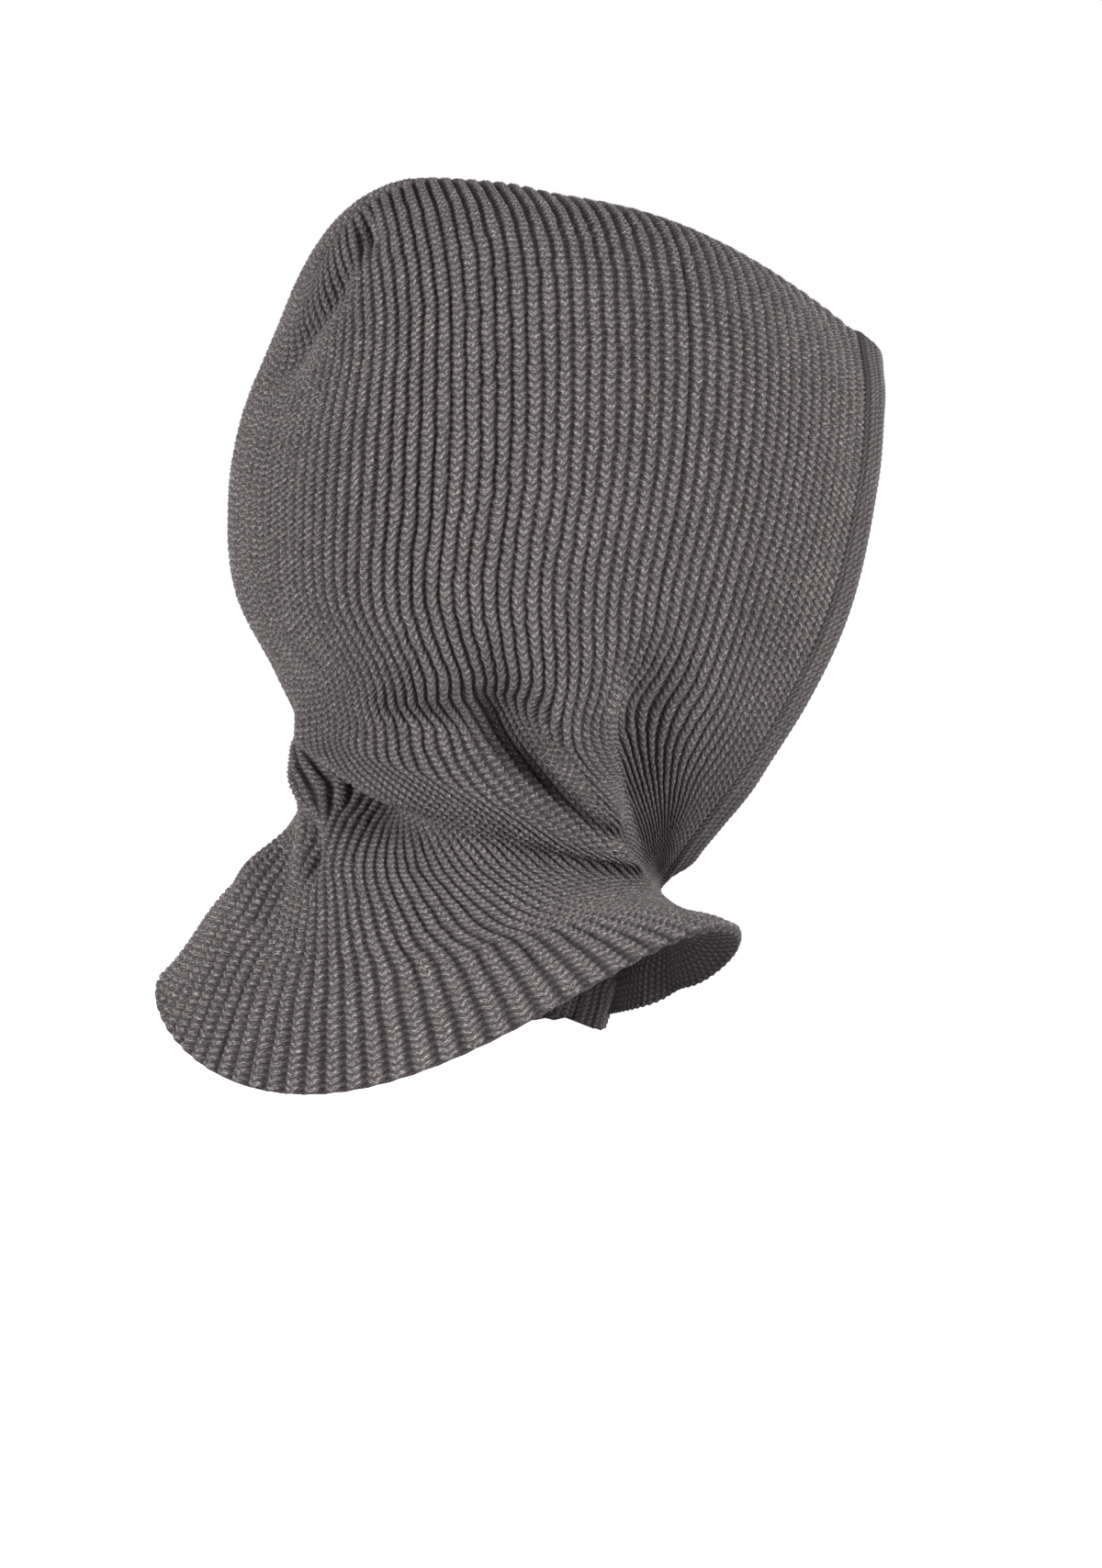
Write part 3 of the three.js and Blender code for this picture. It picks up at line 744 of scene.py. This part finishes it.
    # painted shade: the low places of each rib, its valleys, are mixed toward the dark colour
    valley = math_node("SUBTRACT", 1.0, step(crest_level, 0.10, 0.85))
    colour = mix(math_node("MULTIPLY", valley, 0.72), colour, inputs.outputs["Dark"])
    tone = math_node("ADD", math_node("MULTIPLY", noise(patch, 1.0, 2.0), 0.5), 0.75)
    toned = nodes.new("ShaderNodeVectorMath")
    toned.operation = "SCALE"
    links.new(colour, toned.inputs[0])
    links.new(tone, toned.inputs["Scale"])
    links.new(toned.outputs[0], outputs.inputs["Color"])
    height = math_node("MULTIPLY_ADD", gap, -0.25, math_node("MULTIPLY", fibre_noise, 0.9))
    height = math_node("ADD", height, math_node("MULTIPLY", fleck_noise, 0.6))
    links.new(height, outputs.inputs["Height"])
    return group


heather = wool_group()
print("group", heather.name, len(heather.nodes), "nodes")


# %% [markdown]
# ## Two wools
# The hood and its band are knitted from the same yarn, but the band is denser and lies in
# its own shade, so it gets a slightly darker set of colours. Wool has no shine. A weak
# sheen stands for the fuzz that catches light where the fabric turns away.

# %% Wool materials
def wool_material(name, dark, wool, pale, bump_depth):
    """A matte material whose colour and fine relief come from the yarn group."""
    material = bpy.data.materials.new(name)
    material.use_nodes = True
    nodes, links = material.node_tree.nodes, material.node_tree.links
    shader = nodes["Principled BSDF"]
    knit = nodes.new("ShaderNodeAttribute")
    knit.attribute_name = "knit"
    knitted = nodes.new("ShaderNodeGroup")
    knitted.node_tree = heather
    knitted.inputs["Dark"].default_value = (*dark, 1)
    knitted.inputs["Wool"].default_value = (*wool, 1)
    knitted.inputs["Pale"].default_value = (*pale, 1)
    bump = nodes.new("ShaderNodeBump")
    bump.inputs["Strength"].default_value = 0.8
    bump.inputs["Distance"].default_value = bump_depth
    links.new(knit.outputs["Vector"], knitted.inputs["Knit"])
    links.new(knitted.outputs["Color"], shader.inputs["Base Color"])
    links.new(knitted.outputs["Height"], bump.inputs["Height"])
    links.new(bump.outputs["Normal"], shader.inputs["Normal"])
    shader.inputs["Roughness"].default_value = 0.92
    shader.inputs["Specular IOR Level"].default_value = 0.15
    shader.inputs["Sheen Weight"].default_value = 0.18
    shader.inputs["Sheen Roughness"].default_value = 0.45
    shader.inputs["Sheen Tint"].default_value = (0.8, 0.77, 0.76, 1)
    return material


hood_wool = wool_material("hood_wool", (0.040, 0.033, 0.036), (0.150, 0.127, 0.131),
                          (0.70, 0.65, 0.64), 0.0008)
band_wool = wool_material("band_wool", (0.038, 0.031, 0.034), (0.140, 0.119, 0.122),
                          (0.64, 0.59, 0.58), 0.0007)
for gore in gores:
    gore.data.materials.append(hood_wool)
band.data.materials.append(band_wool)
print("materials", hood_wool.name, band_wool.name)

# %% [markdown]
# ## Camera
# The photograph shows the hood from behind and from its right, almost level, with a long lens.
# One of its pixels is 0.37 mm at the hood, which sets the lens once the distance is chosen.

# %% Camera
PHOTO_MM = 0.37
PHOTO_HEIGHT = 1708
AZIMUTH, ELEVATION = math.radians(242.0), math.radians(4.0)
AIM_RIGHT, AIM_UP = -24.0, -225.3
CAMERA_AWAY = 3.0
SENSOR_MM = 36.0
right = Vector((math.cos(AZIMUTH), math.sin(AZIMUTH), 0))
toward = Vector((math.sin(AZIMUTH) * math.cos(ELEVATION), -math.cos(AZIMUTH) * math.cos(ELEVATION),
                 math.sin(ELEVATION)))
above = toward.cross(right)
aim = (right * AIM_RIGHT + above * (AIM_UP - CROWN_DROP)) * MM
camera = bpy.data.objects.new("camera", bpy.data.cameras.new("camera"))
bpy.context.collection.objects.link(camera)
camera.location = aim + toward * CAMERA_AWAY
camera.rotation_mode = "QUATERNION"
camera.rotation_quaternion = Matrix((right, above, toward)).transposed().to_quaternion()
camera.data.sensor_width = SENSOR_MM
camera.data.lens = SENSOR_MM * CAMERA_AWAY / (PHOTO_HEIGHT * PHOTO_MM * MM)
camera.data.clip_end = 50
bpy.context.scene.camera = camera
print("lens", round(camera.data.lens, 1))

# %% [markdown]
# ## Studio
# The photograph has a seamless white ground and soft light from both sides of the camera.
# The floor is white paper. Seen by the camera it glows a little, so that it meets the
# backdrop without a horizon; for the light that bounces on it it is grey, as the space
# round a studio set is, so that hollows and undersides stay dark.

# %% Floor
FLOOR_Z = -0.62
FLOOR_GLOW = 0.9
floor_mesh = bpy.data.meshes.new("floor")
bm = bmesh.new()
bmesh.ops.create_grid(bm, x_segments=1, y_segments=1, size=15)
for vert in bm.verts:
    vert.co.z = FLOOR_Z
bm.to_mesh(floor_mesh)
bm.free()
floor = bpy.data.objects.new("floor", floor_mesh)
bpy.context.collection.objects.link(floor)
floor_paint = bpy.data.materials.new("pale_floor")
floor_paint.use_nodes = True
floor_nodes, floor_links = floor_paint.node_tree.nodes, floor_paint.node_tree.links
floor_shader = floor_nodes["Principled BSDF"]
floor_shader.inputs["Roughness"].default_value = 0.9
floor_shader.inputs["Emission Color"].default_value = (1, 1, 1, 1)
floor_ray = floor_nodes.new("ShaderNodeLightPath")
floor_tone = floor_nodes.new("ShaderNodeMix")
floor_tone.data_type = "RGBA"
floor_tone.inputs["A"].default_value = (0.30, 0.30, 0.30, 1)
floor_tone.inputs["B"].default_value = (0.93, 0.93, 0.93, 1)
floor_glow = floor_nodes.new("ShaderNodeMath")
floor_glow.operation = "MULTIPLY"
floor_glow.inputs[1].default_value = FLOOR_GLOW
floor_links.new(floor_ray.outputs["Is Camera Ray"], floor_tone.inputs["Factor"])
floor_links.new(floor_ray.outputs["Is Camera Ray"], floor_glow.inputs[0])
floor_links.new(floor_tone.outputs["Result"], floor_shader.inputs["Base Color"])
floor_links.new(floor_glow.outputs[0], floor_shader.inputs["Emission Strength"])
floor_mesh.materials.append(floor_paint)
print("floor at", FLOOR_Z)

# %% [markdown]
# ## Lights
# Two large soft lamps left and right of the camera light the knit evenly, and a low one
# fills what faces down, as pale things below would. A single key light would make the
# folds stronger than they look. Two lamps stand on the far side of the hood, so that its
# front is lit as well.

# %% Light
SKY_STRENGTH = 0.22
HOOD_MIDDLE = Vector((0, 0.03, -0.17))
world = bpy.data.worlds.new("studio")
bpy.context.scene.world = world
world.use_nodes = True
sky = world.node_tree
sky.nodes["Background"].inputs["Color"].default_value = (1, 1, 1, 1)
sky.nodes["Background"].inputs["Strength"].default_value = SKY_STRENGTH
backdrop = sky.nodes.new("ShaderNodeBackground")
backdrop.inputs["Color"].default_value = (1, 1, 1, 1)
sky_ray = sky.nodes.new("ShaderNodeLightPath")
blend = sky.nodes.new("ShaderNodeMixShader")
sky.links.new(sky_ray.outputs["Is Camera Ray"], blend.inputs[0])
sky.links.new(sky.nodes["Background"].outputs[0], blend.inputs[1])
sky.links.new(backdrop.outputs[0], blend.inputs[2])
sky.links.new(blend.outputs[0], sky.nodes["World Output"].inputs["Surface"])


def soft_light(name, offset, power, width=0.9):
    """A round lamp aimed at the hood; offset is to the right, above and toward the camera."""
    lamp = bpy.data.lights.new(name, "AREA")
    lamp.shape = "DISK"
    lamp.size = width
    lamp.energy = power
    lamp_object = bpy.data.objects.new(name, lamp)
    bpy.context.collection.objects.link(lamp_object)
    away = right * offset[0] + above * offset[1] + toward * offset[2]
    lamp_object.location = HOOD_MIDDLE + away
    lamp_object.rotation_mode = "QUATERNION"
    lamp_object.rotation_quaternion = away.to_track_quat("Z", "Y")


soft_light("left_light", (-1.9, 0.2, 1.6), 44)
soft_light("right_light", (1.8, 0.3, 1.8), 40)
soft_light("low_light", (0.0, -1.2, 2.2), 28)
soft_light("high_light", (1.3, 1.2, 2.0), 12)
soft_light("far_left_light", (-1.2, 0.7, -2.2), 34)
soft_light("far_right_light", (1.2, 0.5, -2.2), 40)
bpy.context.scene.view_settings.view_transform = "Standard"
